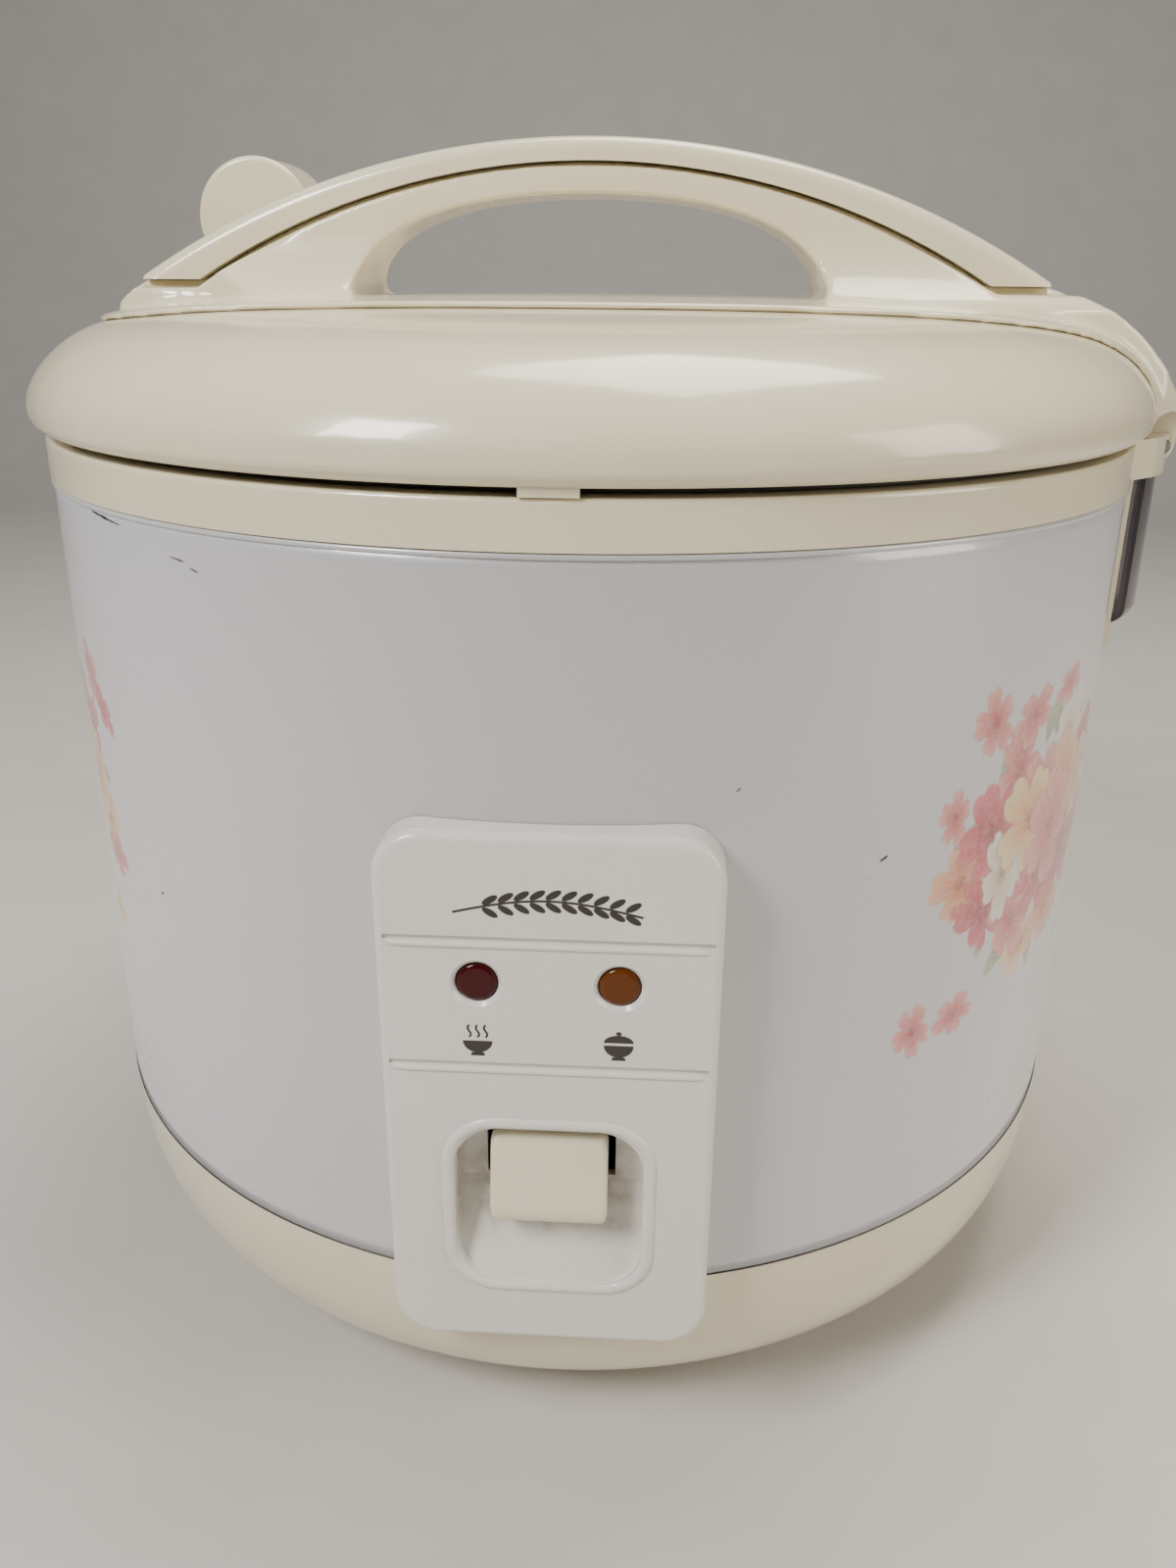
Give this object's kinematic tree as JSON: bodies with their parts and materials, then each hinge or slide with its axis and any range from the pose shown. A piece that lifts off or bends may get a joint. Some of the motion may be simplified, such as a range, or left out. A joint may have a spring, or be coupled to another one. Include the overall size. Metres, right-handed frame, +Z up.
{
  "type": "rice cooker",
  "caption": "Round jar rice cooker with a domed side-hinged lid, arched carrying handle, steam vent cap, clear dew cup and a front panel with lamps and a cook switch.",
  "frame": {"origin": "on the surface it stands on, under the cooker's round body axis", "axes": "+Z up; control panel faces -Y; lid hinge and dew cup at +X; open button at -X"},
  "size_m": [0.3076, 0.2981, 0.3036],
  "materials": {
    "ivory_plastic": "glossy moulded",
    "pearl_case": "gloss enamel",
    "panel_white": "semi-gloss moulded",
    "lens_red": "clear tinted",
    "lens_amber": "clear tinted",
    "smoke_clear": "smoked clear",
    "steel": "bare",
    "zinc_plate": "bright zinc",
    "aluminium": "satin",
    "cast_heater": "as cast",
    "rubber_dark": "matt",
    "silicone": "matt",
    "silicone_dark": "matt",
    "ferrite": "ground",
    "phenolic": "moulded",
    "neon_glass": "clear",
    "board": "laminate",
    "brass": "bright",
    "wire_cover": "sleeved"
  },
  "bodies": {
    "cooker_body": {"base_shell": "ivory_plastic", "rim_ring": "ivory_plastic", "dew_bracket": "ivory_plastic", "outer_case": "pearl_case", "control_panel": "panel_white", "cook_lamp_lens": "lens_red", "warm_lamp_lens": "lens_amber", "hinge_pin": "steel", "lever_pivot_pin": "steel", "hinge_spring": "steel", "sensor_spring": "steel", "lever_bracket": "steel", "sensor_holder": "steel", "microswitch_bracket": "steel", "thermal_fuse": "steel", "bottom_plate": "zinc_plate", "liner": "zinc_plate", "bottom_screws": "zinc_plate", "rim_screws": "zinc_plate", "panel_screws": "zinc_plate", "plate_supports": "zinc_plate", "inner_pan": "aluminium", "heating_plate": "cast_heater", "rubber_feet": "rubber_dark", "microswitch": "phenolic", "terminal_block": "phenolic", "power_inlet": "phenolic", "side_heater": "phenolic", "neon_lamps": "neon_glass", "lamp_board": "board", "inlet_pins": "brass", "heater_terminals": "brass", "wiring": "wire_cover"},
    "lid": {"lid_shell": "ivory_plastic", "lid_handle": "ivory_plastic", "handle_strip": "ivory_plastic", "lid_frame": "ivory_plastic", "lid_heater": "aluminium", "inner_lid": "aluminium", "inner_lid_knob": "silicone", "inner_lid_gasket": "silicone", "lid_gasket": "silicone_dark", "latch_hook": "ivory_plastic", "steam_duct": "ivory_plastic", "lid_screws": "zinc_plate"},
    "open_button": {"open_button": "ivory_plastic", "button_springs": "steel"},
    "switch_lever": {"switch_key": "ivory_plastic", "lever_arm": "steel"},
    "magnet": {"magnet": "ferrite", "magnet_rod": "steel"},
    "sensor": {"sensor_cap": "aluminium", "sensor_ferrite": "ferrite"},
    "steam_cap": {"steam_cap": "ivory_plastic"},
    "dew_cup": {"dew_cup": "smoke_clear"}
  },
  "joints": [
    {"name": "lid_hinge", "type": "hinge", "parent": "cooker_body", "child": "lid", "pos_m": [0.1503, 0, 0.2305], "axis": [0, 1, 0], "range_deg": [0, 80]},
    {"name": "open_button_push", "type": "slide", "parent": "cooker_body", "child": "open_button", "axis": [1, 0, 0], "range_m": [0, 0.0022], "stiffness_N_per_m": 900, "springref_m": -0.0015},
    {"name": "switch_lever_pivot", "type": "hinge", "parent": "cooker_body", "child": "switch_lever", "pos_m": [0, -0.06, 0.056], "axis": [1, 0, 0], "range_deg": [0, 3.2]},
    {"name": "magnet_lift", "type": "slide", "parent": "cooker_body", "child": "magnet", "axis": [0, 0, 1], "range_m": [0, 0.0034]},
    {"name": "sensor_cap_sink", "type": "slide", "parent": "cooker_body", "child": "sensor", "axis": [0, 0, 1], "range_m": [-0.0025, 0], "stiffness_N_per_m": 400, "springref_m": 0.004, "deforming": ["sensor_spring"]},
    {"name": "steam_cap_lift", "type": "slide", "parent": "lid", "child": "steam_cap", "axis": [0, 0, 1], "range_m": [0, 0.03]},
    {"name": "dew_cup_pull", "type": "slide", "parent": "cooker_body", "child": "dew_cup", "axis": [1, 0, 0], "range_m": [0, 0.04]}
  ],
  "couplings": [
    {"joint": "magnet_lift", "follows": "switch_lever_pivot", "m_per_rad": 0.06}
  ]
}
